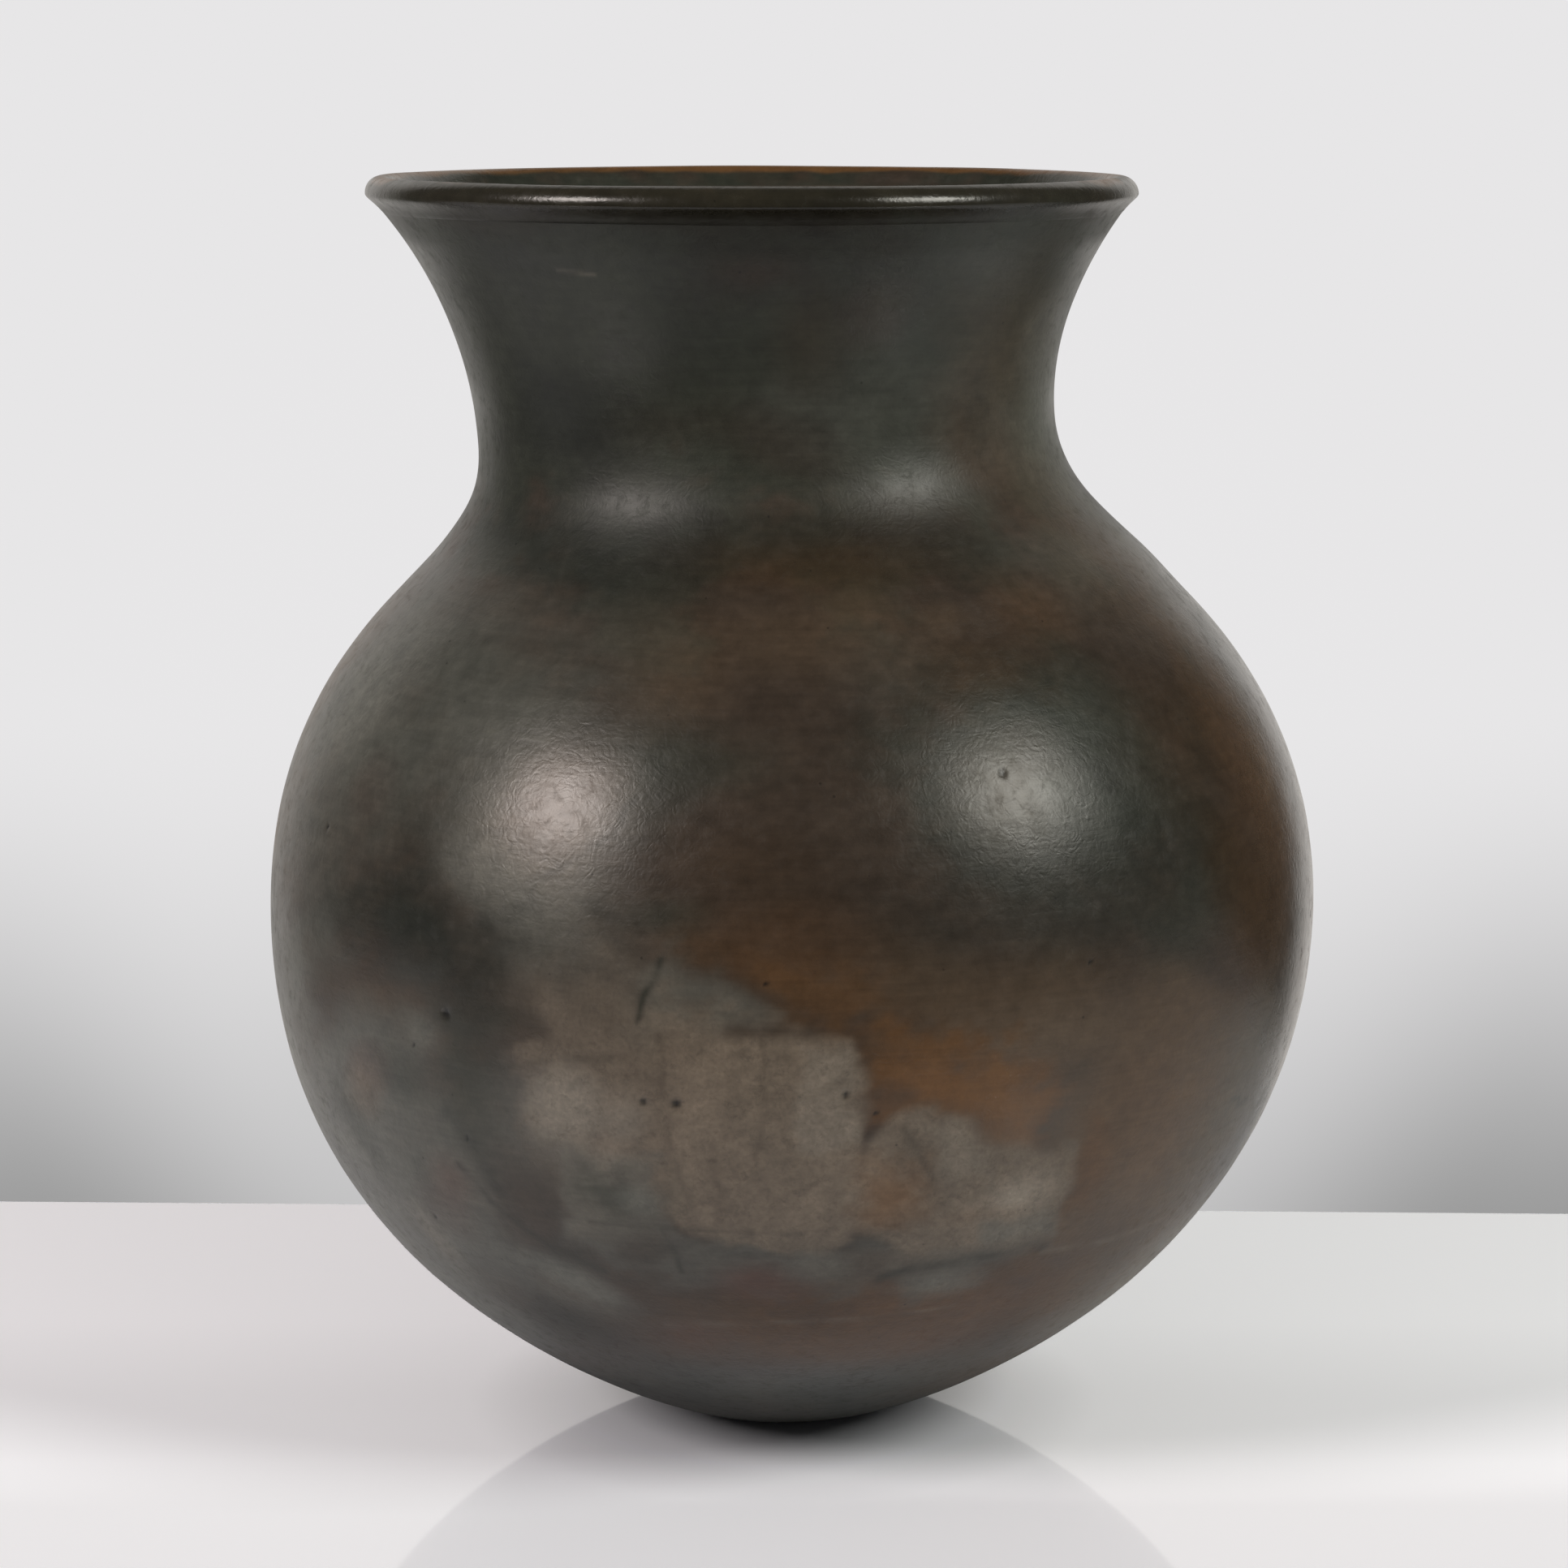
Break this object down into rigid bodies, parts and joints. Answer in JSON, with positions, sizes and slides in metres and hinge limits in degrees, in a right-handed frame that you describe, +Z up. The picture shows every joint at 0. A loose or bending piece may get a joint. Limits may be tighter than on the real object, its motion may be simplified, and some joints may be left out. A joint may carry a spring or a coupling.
{
  "type": "ceramic vessel",
  "caption": "Round-bottomed burnished ceramic vessel with a globular belly, waisted neck, flared mouth and rolled lip, resting on a small flat.",
  "frame": {"origin": "middle of the small resting flat under the base", "axes": "+Z up through the mouth, -Y to the front, +X to the right seen from the front"},
  "size_m": [0.252, 0.252, 0.3],
  "materials": {
    "smoked_brown_clay": "hand-burnished unglazed earthenware, smoke-fired brown with black, grey and orange clouds, satin",
    "smoked_black_clay": "hand-burnished unglazed earthenware, carbonised charcoal to olive black, satin"
  },
  "bodies": {
    "root": {"base": "smoked_brown_clay", "lower_belly": "smoked_brown_clay", "girth": "smoked_brown_clay", "lower_shoulder": "smoked_brown_clay", "upper_shoulder": "smoked_brown_clay", "neck": "smoked_black_clay", "throat": "smoked_black_clay", "mouth": "smoked_black_clay", "lip": "smoked_black_clay"}
  },
  "joints": []
}
